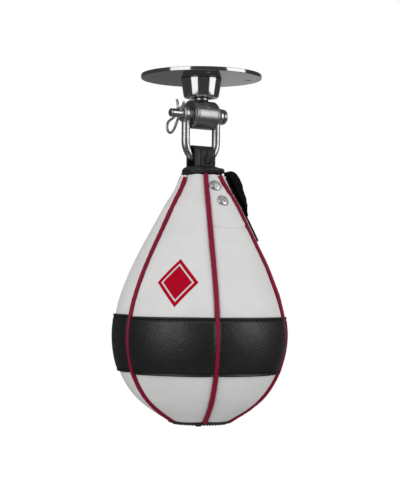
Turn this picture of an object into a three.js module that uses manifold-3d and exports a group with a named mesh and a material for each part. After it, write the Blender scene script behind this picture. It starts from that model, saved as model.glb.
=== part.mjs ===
// Speed bag on a ball swivel: a round flange plate, a ball swivel with a bearing barrel, a clevis pin and
// shackle, and a six-gore leather bag with its bladder. Millimetres, +Z up. The origin is the centre of the
// flange plate's top face; the clevis pin lies along X with its head at +X.
import * as THREE from "three";
import { mergeVertices } from "three/addons/utils/BufferGeometryUtils.js";
import Module from "manifold-3d";

const wasm = await Module();
wasm.setup();

// ---- driving dimensions ----
const GAP = 0.3; // clearance between touching pieces
const WIDE_SEGMENTS = 38;
const ROUND_SEGMENTS = 20;
const SMALL_SEGMENTS = 12;

const PLATE = { radius: 61.7, thickness: 4, edge: 1.2 };
const HOLES = { radius: 2.75, pitchRadius: 48.25, firstDeg: 62 };
const HOUSING = { topRadius: 21, bottomRadius: 17.9, bore: 14, mouth: 10, bottom: -23.5 };
const MOUTH_EDGE = { shelf: 1.3, chamfer: 1.2 };
const BALL = { radius: 10.5, centre: -15.4, bore: 3.9, counterbore: 5.3, flatTop: 8, flatBottom: 7.4 };
const STEM_RADIUS = 3.6;
const BARREL = { radius: 14.5, halfLength: 14, axis: -41, edge: 0.8, bearingBore: 11.3, throat: 8.5 };
const BEARING = { outer: 11, outerWall: 1.4, bore: 4.75, innerWall: 1.65, width: 7, inset: 0.5 };
const ROLLER = { radius: 1.3, count: 7 };
const PIN = { radius: 4.3, tip: -38.3, head: 24.8, headRadius: 8, headHeight: 5.6, clipStation: -26.3 };
const CLIP = { wire: 1, leanDeg: 33 };
const SHACKLE = { rod: 4.25, legX: 19, bowCentre: -68.5, eyeRadius: 8.5, eyeInner: 18.9, eyeOuter: 24.4 };
const STRAP = { width: 25, thickness: 2.6, halfGap: 5.2, top: -72.3, foot: -134 };
const COLLAR = { radius: 22, top: -94, bottom: -102.3 };
const LEATHER = 2.4; // thickness of a gore
const BAND = { top: -245, bottom: -302, thickness: 1.7 };
const BAND_LIFTS = [0, 0, 0, 0, 0, 1.8]; // how much higher each gore's band patch was sewn
const PIPING = { radius: 2.25, sunk: 0.25, top: -103.6, bottom: -348.6 };
const CAP = { radius: 30.2, top: -350.1, bottom: -354.9 };
const VALVE = { radius: 3.6, bottom: -357.2 };
const BLADDER = { clearance: 6.2, wall: 1.3, top: -139, bottom: -345 };
const RIVET = { radius: 6.2, foot: 0.5, height: 2.6 };
const RIVETS = [
  { name: "rivet_front_upper", deg: 262.5, z: -115 },
  { name: "rivet_front_lower", deg: 269, z: -130 },
  { name: "rivet_back_upper", deg: 82.5, z: -115 },
  { name: "rivet_back_lower", deg: 89, z: -130 },
];
const CLOSURE_DEG = 333; // bearing of the lacing
const PLACKET = { topWidth: 17, bottomWidth: 25, top: -105, bottom: -165, thickness: 1.2 };
const LACE = { radius: 1, reach: 5, lift: 3.1, top: -107.5, bottom: -131.5, rungs: 8 };
const FLAP_WIDTH = 16;

// The outline of the leather from neck to base: radius and height.
const BAG_OUTLINE = [
  [22.4, -102.8],
  [29.2, -118],
  [38.6, -134],
  [55.3, -166.6],
  [71, -199],
  [82.7, -232],
  [87.2, -264],
  [82, -297],
  [69, -321],
  [53.2, -336.8],
  [31.8, -350.6],
];
// Each seam's bearing in degrees at the neck, the widest ring and the base.
const SEAMS = [
  { neck: 187, widest: 182, base: 179 },
  { neck: 242, widest: 245.5, base: 245 },
  { neck: 296, widest: 310.5, base: 315 },
  { neck: 362, widest: 367, base: 370 },
  { neck: 418, widest: 424.5, base: 421 },
  { neck: 481, widest: 482.5, base: 475 },
];
const WIDEST_Z = -264;

// ---- materials ----
function finish(color, roughness, metalness) {
  return new THREE.MeshStandardMaterial({ color, roughness, metalness });
}


const STEEL = finish(0x8e8f91, 0.22, 1);
const BRIGHT_STEEL = finish(0xd2d3d6, 0.16, 1);
const BRONZE = finish(0xa4814e, 0.4, 1);
const ACETAL = finish(0xe4e2da, 0.5, 0);
const WHITE_LEATHER = finish(0xd6d5d3, 0.5, 0);
const BLACK_LEATHER = finish(0x2c2b2c, 0.48, 0);
const RED_PIPING = finish(0x74082a, 0.5, 0);
const RUBBER = finish(0x201f1f, 0.7, 0);
const LATEX = finish(0xb79b6c, 0.55, 0);

// ---- tools ----
function solidOf(geometry) {
  const bare = geometry.index ? geometry.toNonIndexed() : geometry.clone();
  bare.deleteAttribute("normal");
  bare.deleteAttribute("uv");
  const merged = mergeVertices(bare, 1e-4);
  const vertProperties = new Float32Array(merged.attributes.position.array);
  const triVerts = new Uint32Array(merged.index.array);
  return new wasm.Manifold(new wasm.Mesh({ numProp: 3, vertProperties, triVerts }));
}

function geometryOf(solid) {
  const result = solid.getMesh();
  const indexed = new THREE.BufferGeometry();
  indexed.setAttribute("position", new THREE.BufferAttribute(new Float32Array(result.vertProperties), 3));
  indexed.setIndex(new THREE.BufferAttribute(new Uint32Array(result.triVerts), 1));
  const flat = indexed.toNonIndexed();
  flat.computeVertexNormals();
  return flat;
}

function join(...geometries) {
  return geometryOf(geometries.map(solidOf).reduce((whole, piece) => whole.add(piece)));
}

function cut(geometry, ...tools) {
  return geometryOf(tools.map(solidOf).reduce((whole, tool) => whole.subtract(tool), solidOf(geometry)));
}

// A profile of [radius, height] points, listed from the bottom up on the outside, turned about Z.
function turnAboutZ(profile, segments) {
  const points = profile.map(([radius, height]) => new THREE.Vector2(radius, height));
  return new THREE.LatheGeometry(points, segments).rotateX(Math.PI / 2);
}

// The same about X: a profile height becomes a place along X.
function turnAboutX(profile, segments) {
  return turnAboutZ(profile, segments).rotateY(Math.PI / 2);
}

function ring(inner, outer, low, high) {
  return [
    [inner, low],
    [outer, low],
    [outer, high],
    [inner, high],
    [inner, low],
  ];
}

function rod(radius, low, high) {
  return [
    [0, low],
    [radius, low],
    [radius, high],
    [0, high],
  ];
}

function cylinderX(radius, low, high, segments) {
  return turnAboutX(rod(radius, low, high), segments);
}

function mirrored(geometry) {
  return geometry.rotateZ(Math.PI);
}

function tube(curve, radius, sides, steps) {
  const section = new THREE.Shape().absarc(0, 0, radius, 0, 2 * Math.PI);
  return new THREE.ExtrudeGeometry(section, { extrudePath: curve, steps, curveSegments: sides / 2 });
}

function outlineFrom(points) {
  return new THREE.Shape(points.map(([x, y]) => new THREE.Vector2(x, y)));
}

// A band of even thickness along a plane curve, extruded by its width and centred on that width.
function ribbon(curve, thickness, width, steps) {
  const inner = [];
  const outer = [];
  for (let i = 0; i <= steps; i += 1) {
    const place = curve.getPoint(i / steps);
    const along = curve.getTangent(i / steps);
    const across = new THREE.Vector2(-along.y, along.x).multiplyScalar(thickness / 2);
    outer.push(place.clone().add(across));
    inner.unshift(place.clone().sub(across));
  }
  const shape = new THREE.Shape([...outer, ...inner]);
  const strip = new THREE.ExtrudeGeometry(shape, { depth: width, bevelEnabled: false });
  return strip.translate(0, 0, -width / 2);
}

// A closed shell between two surfaces that share the same grid of (u, v), each from 0 to 1.
function shell(outerAt, innerAt, columns, rows) {
  const positions = [];
  const index = [];
  const count = (columns + 1) * (rows + 1);
  for (const surface of [outerAt, innerAt]) {
    for (let j = 0; j <= rows; j += 1) {
      for (let i = 0; i <= columns; i += 1) {
        positions.push(...surface(i / columns, j / rows).toArray());
      }
    }
  }
  const at = (i, j) => j * (columns + 1) + i;
  const quad = (a, b, c, d) => index.push(a, b, c, a, c, d);
  for (let j = 0; j < rows; j += 1) {
    for (let i = 0; i < columns; i += 1) {
      quad(at(i, j + 1), at(i + 1, j + 1), at(i + 1, j), at(i, j));
      quad(count + at(i, j), count + at(i + 1, j), count + at(i + 1, j + 1), count + at(i, j + 1));
    }
  }
  for (let i = 0; i < columns; i += 1) {
    quad(at(i, 0), at(i + 1, 0), count + at(i + 1, 0), count + at(i, 0));
    quad(at(i + 1, rows), at(i, rows), count + at(i, rows), count + at(i + 1, rows));
  }
  for (let j = 0; j < rows; j += 1) {
    quad(at(0, j + 1), at(0, j), count + at(0, j), count + at(0, j + 1));
    quad(at(columns, j), at(columns, j + 1), count + at(columns, j + 1), count + at(columns, j));
  }
  const geometry = new THREE.BufferGeometry();
  geometry.setAttribute("position", new THREE.Float32BufferAttribute(positions, 3));
  geometry.setIndex(index);
  const flat = geometry.toNonIndexed();
  flat.computeVertexNormals();
  return flat;
}

const model = new THREE.Group();

function addPart(name, geometry, material) {
  const mesh = new THREE.Mesh(geometry, material);
  mesh.name = name;
  model.add(mesh);
  return mesh;
}

const radians = THREE.MathUtils.degToRad;

// ---- mount: flange plate, socket housing and thrust pad ----
function flangePlate() {
  const { radius, thickness, edge } = PLATE;
  const disc = turnAboutZ(
    [
      [0, -thickness],
      [radius - edge, -thickness],
      [radius - edge * 0.3, -thickness + edge * 0.3],
      [radius, -thickness + edge],
      [radius, -edge * 0.5],
      [radius - edge * 0.5, 0],
      [0, 0],
    ],
    WIDE_SEGMENTS,
  );
  const holes = [0, 90, 180, 270].map((step) => {
    const angle = radians(HOLES.firstDeg + step);
    const hole = turnAboutZ(rod(HOLES.radius, -thickness - 1, 1), SMALL_SEGMENTS);
    return hole.translate(HOLES.pitchRadius * Math.cos(angle), HOLES.pitchRadius * Math.sin(angle), 0);
  });
  return cut(disc, ...holes);
}

function socketHousing() {
  const { topRadius, bottomRadius, bore, mouth, bottom } = HOUSING;
  const { shelf, chamfer } = MOUTH_EDGE;
  const top = -PLATE.thickness - GAP;
  return turnAboutZ(
    [
      [mouth, bottom],
      [bottomRadius - chamfer, bottom],
      [bottomRadius, bottom + chamfer],
      [topRadius, top],
      [bore, top],
      [bore, bottom + shelf],
      [mouth, bottom + shelf],
      [mouth, bottom],
    ],
    WIDE_SEGMENTS,
  );
}

// Points on the hollow sphere that the ball turns in, from one radius to another.
function socketArc(fromRadius, toRadius, side, steps) {
  const hollow = BALL.radius + GAP;
  const arc = [];
  for (let i = 0; i <= steps; i += 1) {
    const radius = THREE.MathUtils.lerp(fromRadius, toRadius, i / steps);
    arc.push([radius, BALL.centre + side * Math.sqrt(hollow * hollow - radius * radius)]);
  }
  return arc;
}

function thrustPad() {
  const top = -PLATE.thickness - GAP;
  const outer = 12.2;
  const arc = socketArc(5.5, 10, 1, 4);
  const foot = arc[arc.length - 1][1];
  return turnAboutZ([...arc, [outer, foot], [outer, top], [arc[0][0], top], arc[0]], ROUND_SEGMENTS);
}

function ballSeat() {
  const outer = HOUSING.bore - GAP;
  const bottom = HOUSING.bottom + MOUTH_EDGE.shelf + GAP;
  const top = -12.4;
  const mouthArc = socketArc(10.6, 8.7, -1, 4);
  const foot = mouthArc[mouthArc.length - 1];
  const profile = [[foot[0], bottom], [outer, bottom], [outer, top], [11.3, top], [11.3, mouthArc[0][1]]];
  return turnAboutZ([...profile, ...mouthArc, profile[0]], ROUND_SEGMENTS);
}

// ---- swivel: ball, barrel, nut and bearings ----
function pivotBall() {
  const { radius, centre, bore, counterbore, flatTop, flatBottom } = BALL;
  const steps = 10;
  const start = -Math.asin(flatBottom / radius);
  const end = Math.asin(flatTop / radius);
  const skin = [];
  for (let i = 0; i <= steps; i += 1) {
    const latitude = THREE.MathUtils.lerp(start, end, i / steps);
    skin.push([radius * Math.cos(latitude), centre + radius * Math.sin(latitude)]);
  }
  const seatHeight = centre + 4.8;
  return turnAboutZ(
    [
      ...skin,
      [counterbore, centre + flatTop],
      [counterbore, seatHeight],
      [bore, seatHeight],
      [bore, centre - flatBottom],
      skin[0],
    ],
    ROUND_SEGMENTS,
  );
}

function swivelBarrel() {
  const { radius, halfLength, axis, edge, bearingBore, throat } = BARREL;
  const shoulder = halfLength - BEARING.inset - BEARING.width - GAP;
  const body = turnAboutX(
    [
      [0, -halfLength],
      [radius - edge, -halfLength],
      [radius, -halfLength + edge],
      [radius, halfLength - edge],
      [radius - edge, halfLength],
      [0, halfLength],
    ],
    WIDE_SEGMENTS,
  ).translate(0, 0, axis);
  const neckTop = BALL.centre - BALL.flatBottom - GAP;
  const neck = turnAboutZ(
    [
      [0, axis + 9.5],
      [12.6, axis + 9.5],
      [10.2, -29.7],
      [8.6, -28],
      [7.6, -26.6],
      [7.1, -25.2],
      [6.7, neckTop],
      [STEM_RADIUS, neckTop],
      [STEM_RADIUS, -8],
      [0, -8],
    ],
    ROUND_SEGMENTS,
  );
  const bore = turnAboutX(
    [
      [0, -halfLength - 1],
      [bearingBore, -halfLength - 1],
      [bearingBore, -shoulder],
      [throat, -shoulder],
      [throat, shoulder],
      [bearingBore, shoulder],
      [bearingBore, halfLength + 1],
      [0, halfLength + 1],
    ],
    ROUND_SEGMENTS,
  ).translate(0, 0, axis);
  return cut(join(body, neck), bore);
}

function stemNut() {
  const low = BALL.centre + 4.8 + GAP;
  return turnAboutZ(ring(STEM_RADIUS + GAP, BALL.counterbore - GAP, low, -7.6), SMALL_SEGMENTS);
}

function bearingPieces() {
  const high = BARREL.halfLength - BEARING.inset;
  const low = high - BEARING.width;
  const middle = (low + high) / 2;
  const raceInner = BEARING.outer - BEARING.outerWall;
  const coneOuter = BEARING.bore + BEARING.innerWall;
  const pitch = (raceInner + coneOuter) / 2;
  const balls = [];
  for (let i = 0; i < ROLLER.count; i += 1) {
    const angle = (2 * Math.PI * i) / ROLLER.count;
    const ball = new THREE.SphereGeometry(ROLLER.radius, 6, 4);
    balls.push(ball.translate(middle, pitch * Math.cos(angle), pitch * Math.sin(angle)));
  }
  const cage = turnAboutX(ring(pitch - 0.5, pitch + 0.5, middle - 1, middle + 1), SMALL_SEGMENTS);
  return {
    outer: turnAboutX(ring(raceInner, BEARING.outer, low, high), ROUND_SEGMENTS),
    inner: turnAboutX(ring(BEARING.bore, coneOuter, low, high), ROUND_SEGMENTS),
    train: join(cage, ...balls),
    shield: turnAboutX(ring(coneOuter + GAP, raceInner - GAP, high - 0.8, high - 0.3), ROUND_SEGMENTS),
  };
}

// ---- shackle ----
function shackle() {
  const { rod: rodRadius, legX, bowCentre, eyeRadius, eyeInner, eyeOuter } = SHACKLE;
  const path = new THREE.CurvePath();
  const corner = new THREE.Vector3(legX, 0, bowCentre);
  const start = new THREE.Vector3(legX, 0, BARREL.axis - eyeRadius + 1);
  path.add(new THREE.LineCurve3(start, corner));
  const bow = [];
  const bowSteps = 14;
  for (let i = 0; i <= bowSteps; i += 1) {
    const angle = (Math.PI * i) / bowSteps;
    bow.push(new THREE.Vector3(legX * Math.cos(angle), 0, bowCentre - legX * Math.sin(angle)));
  }
  path.add(new THREE.CatmullRomCurve3(bow));
  const end = start.clone().setX(-legX);
  path.add(new THREE.LineCurve3(bow[bowSteps], end));
  const bar = tube(path, rodRadius, 12, 26);
  const eyes = [eyeInner, -eyeOuter].map((low) => {
    const eye = turnAboutX(rod(eyeRadius, low, low + eyeOuter - eyeInner), ROUND_SEGMENTS);
    return eye.translate(0, 0, BARREL.axis);
  });
  const pinHole = cylinderX(PIN.radius + GAP, -eyeOuter - 1, eyeOuter + 1, ROUND_SEGMENTS);
  return cut(join(bar, ...eyes), pinHole.translate(0, 0, BARREL.axis));
}

function washer() {
  const low = BARREL.halfLength - BEARING.inset + GAP;
  return turnAboutX(ring(BEARING.bore, 6.4, low, SHACKLE.eyeInner - GAP), ROUND_SEGMENTS);
}

function spacerSleeve() {
  const half = BARREL.halfLength - BEARING.inset - BEARING.width - GAP;
  return turnAboutX(ring(BEARING.bore, 6.2, -half, half), ROUND_SEGMENTS);
}

// ---- pin and its hairpin clip ----
function clevisPin() {
  const { radius, tip, head, headRadius, headHeight, clipStation } = PIN;
  const body = turnAboutX(
    [
      [0, tip],
      [radius - 0.9, tip],
      [radius, tip + 0.9],
      [radius, head],
      [headRadius, head],
      [headRadius, head + headHeight * 0.4],
      [headRadius * 0.8, head + headHeight * 0.75],
      [headRadius * 0.4, head + headHeight * 0.95],
      [0, head + headHeight],
    ],
    ROUND_SEGMENTS,
  );
  const hole = turnAboutZ(rod(CLIP.wire + GAP, -radius - 1, radius + 1), 12);
  return cut(body, hole.rotateX(radians(CLIP.leanDeg)).translate(clipStation, 0, 0));
}

// The clip's centre line: first the height up the straight leg, then the distance off that leg.
const CLIP_ROUTE = [
  [12.5, 0],
  [6, 0],
  [-2, 0],
  [-10, 0],
  [-17, 0],
  [-22.5, 1.8],
  [-25.2, 6.2],
  [-23.6, 11.6],
  [-18.4, 13.6],
  [-13.6, 11.2],
  [-9.4, 7.8],
  [-4.8, 6.2],
  [0, 5.9],
  [4, 7],
  [6.8, 9.6],
  [8.6, 12.2],
];

function hairpinClip() {
  const points = CLIP_ROUTE.map(([up, off]) => new THREE.Vector3(0, off, up));
  const wire = tube(new THREE.CatmullRomCurve3(points), CLIP.wire, 6, 40);
  return wire.rotateX(radians(CLIP.leanDeg)).translate(PIN.clipStation, 0, 0);
}

// ---- bag ----
const outline = new THREE.SplineCurve(BAG_OUTLINE.map(([radius, z]) => new THREE.Vector2(radius, z)));

// The outline's parameter at a height, found by halving.
function outlineAt(z) {
  let low = 0;
  let high = 1;
  for (let i = 0; i < 30; i += 1) {
    const middle = (low + high) / 2;
    if (outline.getPoint(middle).y > z) low = middle;
    else high = middle;
  }
  return low;
}

// A point on the bag: outline parameter, bearing in degrees and distance out of the leather's face.
function bagPoint(t, deg, out) {
  const place = outline.getPoint(t);
  const along = outline.getTangent(t);
  const radius = place.x - along.y * out;
  const angle = radians(deg);
  return new THREE.Vector3(radius * Math.cos(angle), radius * Math.sin(angle), place.y + along.x * out);
}

// A seam's bearing at a height: the parabola through its three stated bearings.
function seamDeg(seam, z) {
  const top = BAG_OUTLINE[0][1];
  const foot = BAG_OUTLINE[BAG_OUTLINE.length - 1][1];
  const atTop = ((z - WIDEST_Z) * (z - foot)) / ((top - WIDEST_Z) * (top - foot));
  const atWidest = ((z - top) * (z - foot)) / ((WIDEST_Z - top) * (WIDEST_Z - foot));
  const atFoot = ((z - top) * (z - WIDEST_Z)) / ((foot - top) * (foot - WIDEST_Z));
  return seam.neck * atTop + seam.widest * atWidest + seam.base * atFoot;
}

// A point on gore k: u from its first seam to its next one, clear of the piping on both sides.
function gorePoint(k, u, t, out) {
  const place = outline.getPoint(t);
  const next = SEAMS[(k + 1) % SEAMS.length];
  const turn = k + 1 === SEAMS.length ? 360 : 0;
  const clear = THREE.MathUtils.radToDeg((PIPING.radius + GAP) / place.x);
  const first = seamDeg(SEAMS[k], place.y) + clear;
  const last = seamDeg(next, place.y) + turn - clear;
  return bagPoint(t, THREE.MathUtils.lerp(first, last, u), out);
}

function panel(k) {
  return shell(
    (u, v) => gorePoint(k, u, v, 0),
    (u, v) => gorePoint(k, u, v, -LEATHER),
    5,
    14,
  );
}

function bandPatch(k) {
  const top = outlineAt(BAND.top + BAND_LIFTS[k]);
  const foot = outlineAt(BAND.bottom + BAND_LIFTS[k]);
  return shell(
    (u, v) => gorePoint(k, u, THREE.MathUtils.lerp(top, foot, v), GAP + BAND.thickness),
    (u, v) => gorePoint(k, u, THREE.MathUtils.lerp(top, foot, v), GAP),
    5,
    4,
  );
}

function piping(k) {
  const steps = 20;
  const points = [];
  for (let i = 0; i <= steps; i += 1) {
    const t = THREE.MathUtils.lerp(outlineAt(PIPING.top), outlineAt(PIPING.bottom), i / steps);
    points.push(bagPoint(t, seamDeg(SEAMS[k], outline.getPoint(t).y), -PIPING.sunk));
  }
  return tube(new THREE.CatmullRomCurve3(points), PIPING.radius, 6, 22);
}

// The strap runs from one tail inside the leather, up, over the shackle's bow and down to the other tail.
function hangerStrap() {
  const { width, thickness, halfGap, top } = STRAP;
  const side = halfGap + thickness / 2;
  const crown = top - thickness / 2;
  const points = [
    [-29.6, STRAP.foot],
    [-21.2, -119],
    [-13, -109],
    [-side - 0.6, -101.5],
    [-side, -96],
    [-side, -88],
    [-side * 0.97, crown - side * 0.95],
    [-side * 0.72, crown - side * 0.3],
    [0, crown],
  ];
  const whole = [...points, ...points.slice(0, -1).reverse().map(([y, z]) => [-y, z])];
  const curve = new THREE.SplineCurve(whole.map(([y, z]) => new THREE.Vector2(y, z)));
  return ribbon(curve, thickness, width, 44).rotateY(Math.PI / 2).rotateX(Math.PI / 2);
}

// A second layer of leather on the strap's front face.
function strapFacing() {
  const outer = STRAP.halfGap + STRAP.thickness + GAP;
  const shape = outlineFrom([
    [-4, -93.6],
    [11.8, -93.6],
    [11.8, -79],
    [10.4, -77.4],
    [-2.6, -77.4],
    [-4, -79],
  ]);
  const sheet = new THREE.ExtrudeGeometry(shape, { depth: 1.4, bevelEnabled: false });
  return sheet.rotateX(Math.PI / 2).translate(0, -outer, 0);
}

function collar() {
  const { radius, top, bottom } = COLLAR;
  const puck = turnAboutZ(
    [
      [0, bottom],
      [radius - 1.6, bottom],
      [radius, bottom + 2.4],
      [radius, top - 4],
      [radius - 2.6, top - 1],
      [radius - 6, top],
      [0, top],
    ],
    ROUND_SEGMENTS,
  );
  const slotWidth = STRAP.width + 2 * GAP;
  const slotDepth = 2 * (STRAP.halfGap + STRAP.thickness + 1.4);
  const slot = new THREE.BoxGeometry(slotWidth, slotDepth, top - bottom + 4);
  return cut(puck, slot.translate(0, 0, (top + bottom) / 2));
}

function bottomCap() {
  const { radius, top, bottom } = CAP;
  return turnAboutZ(
    [
      [VALVE.radius + GAP, bottom],
      [radius * 0.5, bottom + 0.5],
      [radius * 0.85, bottom + 1.9],
      [radius, top - 1],
      [radius, top],
      [VALVE.radius + GAP, top],
      [VALVE.radius + GAP, bottom],
    ],
    ROUND_SEGMENTS,
  );
}

function bladder() {
  const { clearance, wall, top, bottom } = BLADDER;
  const steps = 7;
  const skins = [clearance + wall, clearance].map((depth) => {
    const points = [];
    for (let i = 0; i <= steps; i += 1) {
      const t = THREE.MathUtils.lerp(outlineAt(top), outlineAt(bottom), i / steps);
      const place = bagPoint(t, 0, -depth);
      points.push([place.x, place.z]);
    }
    return points;
  });
  const mouth = VALVE.radius + GAP;
  const [inside, outside] = skins;
  const crown = outside[0][1] + 10;
  return turnAboutZ(
    [
      [mouth, outside[steps][1] - 1],
      ...outside.reverse(),
      [0, crown],
      [0, crown - wall],
      ...inside,
      [mouth, inside[steps][1] - 0.5],
      [mouth, outside[0][1] - 1],
    ],
    ROUND_SEGMENTS,
  );
}

function valve() {
  const { radius, bottom } = VALVE;
  return turnAboutZ(
    [
      [0, bottom],
      [radius * 0.7, bottom],
      [radius, bottom + 1.2],
      [radius, -340],
      [0, -340],
    ],
    SMALL_SEGMENTS,
  );
}

// A domed rivet head standing on the leather.
function rivet({ deg, z }) {
  const { radius, foot, height } = RIVET;
  const head = turnAboutZ(
    [
      [0, foot],
      [radius * 0.9, foot],
      [radius, foot + 0.4],
      [radius * 0.82, height * 0.62],
      [radius * 0.5, height * 0.9],
      [0, height],
    ],
    SMALL_SEGMENTS,
  );
  const t = outlineAt(z);
  const place = bagPoint(t, deg, 0);
  const out = bagPoint(t, deg, 1).sub(place);
  const upright = new THREE.Quaternion().setFromUnitVectors(new THREE.Vector3(0, 0, 1), out.normalize());
  return head.applyQuaternion(upright).translate(place.x, place.y, place.z);
}

// ---- closure: placket, lace and flap at the side of the neck ----
function placket() {
  const { topWidth, bottomWidth, top, bottom, thickness } = PLACKET;
  const at = (out) => (u, v) => {
    const t = THREE.MathUtils.lerp(outlineAt(top), outlineAt(bottom), v);
    const width = THREE.MathUtils.lerp(topWidth, bottomWidth, v);
    const turn = THREE.MathUtils.radToDeg(((u - 0.5) * width) / outline.getPoint(t).x);
    return bagPoint(t, CLOSURE_DEG + turn, out);
  };
  return shell(at(GAP + thickness), at(GAP), 4, 6);
}

function lace() {
  const { radius, reach, lift, top, bottom, rungs } = LACE;
  const points = [];
  for (let i = 0; i < rungs; i += 1) {
    const side = i % 2 ? 1 : -1;
    const t = THREE.MathUtils.lerp(outlineAt(top), outlineAt(bottom), i / (rungs - 1));
    const half = THREE.MathUtils.radToDeg(reach / outline.getPoint(t).x);
    points.push(bagPoint(t, CLOSURE_DEG + side * half, lift));
  }
  return tube(new THREE.CatmullRomCurve3(points), radius, 6, 36);
}

// The padded flap over the lacing from the side: radius and height, down its outer face and back up inside.
const FLAP_SIDE = [
  [23, -99],
  [27.5, -98.3],
  [31, -99.2],
  [33.8, -101],
  [36.2, -104],
  [38, -107.7],
  [39.6, -112],
  [41.2, -117],
  [43.6, -123.2],
  [45.2, -129],
  [46, -134],
  [46.8, -140],
  [47.4, -143.4],
  [46.1, -143.4],
  [43.9, -139],
  [42.1, -134],
  [40.5, -128],
  [37.4, -122],
  [34, -116],
  [31.6, -110.4],
  [29.6, -106],
  [26.8, -103.2],
  [24.6, -102.2],
  [23, -101.6],
];

function laceFlap() {
  const pad = new THREE.ExtrudeGeometry(outlineFrom(FLAP_SIDE), { depth: FLAP_WIDTH, bevelEnabled: false });
  return pad.translate(0, 0, -FLAP_WIDTH / 2).rotateX(Math.PI / 2).rotateZ(radians(CLOSURE_DEG));
}

// ---- assembly ----
addPart("flange_plate", flangePlate(), STEEL);
addPart("socket_housing", socketHousing(), STEEL);
addPart("thrust_pad", thrustPad(), ACETAL);
addPart("ball_seat", ballSeat(), BRONZE);
addPart("pivot_ball", pivotBall(), BRIGHT_STEEL);
addPart("swivel_barrel", swivelBarrel(), STEEL);
addPart("stem_nut", stemNut(), STEEL);

for (const side of ["right", "left"]) {
  const pieces = { ...bearingPieces(), washer: washer() };
  const nodes = [
    ["bearing_outer_race_", pieces.outer, BRIGHT_STEEL],
    ["bearing_inner_race_", pieces.inner, BRIGHT_STEEL],
    ["bearing_balls_", pieces.train, BRONZE],
    ["bearing_shield_", pieces.shield, STEEL],
    ["washer_", pieces.washer, BRIGHT_STEEL],
  ];
  for (const [stem, geometry, material] of nodes) {
    const turned = side === "left" ? mirrored(geometry) : geometry;
    addPart(stem + side, turned, material).position.z = BARREL.axis;
  }
}

addPart("spacer_sleeve", spacerSleeve(), STEEL).position.z = BARREL.axis;
addPart("shackle", shackle(), BRIGHT_STEEL);
addPart("clevis_pin", clevisPin(), BRIGHT_STEEL).position.z = BARREL.axis;
addPart("hairpin_clip", hairpinClip(), BRIGHT_STEEL).position.z = BARREL.axis;

addPart("hanger_strap", hangerStrap(), BLACK_LEATHER);
addPart("strap_facing", strapFacing(), BLACK_LEATHER);
addPart("collar", collar(), BLACK_LEATHER);
SEAMS.forEach((seam, k) => {
  addPart(`panel_${k + 1}`, panel(k), WHITE_LEATHER);
  addPart(`band_${k + 1}`, bandPatch(k), BLACK_LEATHER);
  addPart(`piping_${k + 1}`, piping(k), RED_PIPING);
});
addPart("bottom_cap", bottomCap(), BLACK_LEATHER);
addPart("valve", valve(), RUBBER);
addPart("bladder", bladder(), LATEX);
for (const place of RIVETS) addPart(place.name, rivet(place), BRIGHT_STEEL);
addPart("lace_placket", placket(), BLACK_LEATHER);
addPart("lace", lace(), BLACK_LEATHER);
addPart("lace_flap", laceFlap(), BLACK_LEATHER);

export default model;
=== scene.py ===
"""A leather speed bag on its ball swivel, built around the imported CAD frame.

Lengths in this script are millimetres, in the frame's axes: +Z up, the clevis pin along X, and the origin
at the centre of the flange plate's top face. They become metres where a mesh is made.
"""
import math

import bmesh
import bpy
import numpy as np
from mathutils import Matrix, Vector, noise


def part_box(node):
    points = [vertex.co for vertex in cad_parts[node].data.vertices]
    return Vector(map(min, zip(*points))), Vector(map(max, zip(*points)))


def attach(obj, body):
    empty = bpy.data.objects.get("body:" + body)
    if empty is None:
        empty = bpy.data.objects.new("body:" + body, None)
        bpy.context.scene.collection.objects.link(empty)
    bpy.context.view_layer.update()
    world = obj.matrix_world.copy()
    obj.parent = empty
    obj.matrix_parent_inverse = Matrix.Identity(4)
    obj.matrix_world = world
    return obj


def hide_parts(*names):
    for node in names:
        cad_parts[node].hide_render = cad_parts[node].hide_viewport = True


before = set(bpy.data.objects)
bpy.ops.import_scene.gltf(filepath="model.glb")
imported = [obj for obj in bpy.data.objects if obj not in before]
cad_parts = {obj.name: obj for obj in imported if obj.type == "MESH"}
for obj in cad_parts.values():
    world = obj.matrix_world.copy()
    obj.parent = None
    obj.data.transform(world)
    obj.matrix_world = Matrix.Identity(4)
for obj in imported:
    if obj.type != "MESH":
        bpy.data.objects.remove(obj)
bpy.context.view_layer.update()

MM = 0.001
X_AXIS, Y_AXIS = np.eye(3)[:2]

# ---- sizes that the frame doesn't state ----
PLATE_EDGE = 0.6
HOLE_RADIUS = 2.75
HOLE_PITCH_RADIUS = 48.25
FIRST_HOLE_DEG = 62
BALL_CENTRE = -15.4
BALL_RADIUS = 10.5
BALL_FLAT = 7.4
PIN_AXIS = -41.0
PIN_CENTRE = (0, 0, PIN_AXIS)
BARREL_RADIUS = 14.5
BARREL_HALF = 14.0
BEARING_BORE = 11.3
THROAT = 8.5
PIN_RADIUS = 4.3
PIN_HEAD = 24.8
CLIP_STATION = -26.3
CLIP_LEAN = 33
CLIP_WIRE = 1.0
SHACKLE_ROD = 4.25
SHACKLE_LEG = 19.0
BOW_CENTRE = -68.5
EYE_RADIUS = 8.5
EYE_INNER = 18.9
EYE_OUTER = 24.4
STRAP_WIDTH = 25.0
STRAP_THICKNESS = 2.6
STRAP_HALF_GAP = 5.2
LEATHER = 2.4
PIPING_RADIUS = 2.45
RIVET_CROWN = 5.6
RIVET_TILT = 0.16
BAND_ROW_INSET = 3.3
BAND_STITCH_PITCH = 3.5
CLOSURE_DEG = 333
LACE_ASIDE = 5.0
LACE_RUNGS = np.linspace(-107.5, -131.5, 8)

# The clip's centre line: the height up the straight leg and the distance off it.
CLIP_ROUTE = [
    (12.5, 0), (6, 0), (-2, 0), (-10, 0), (-17, 0), (-22.5, 1.8), (-25.2, 6.2), (-23.6, 11.6),
    (-18.4, 13.6), (-13.6, 11.2), (-9.4, 7.8), (-4.8, 6.2), (0, 5.9), (4, 7), (6.8, 9.6), (8.6, 12.2),
]
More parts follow.
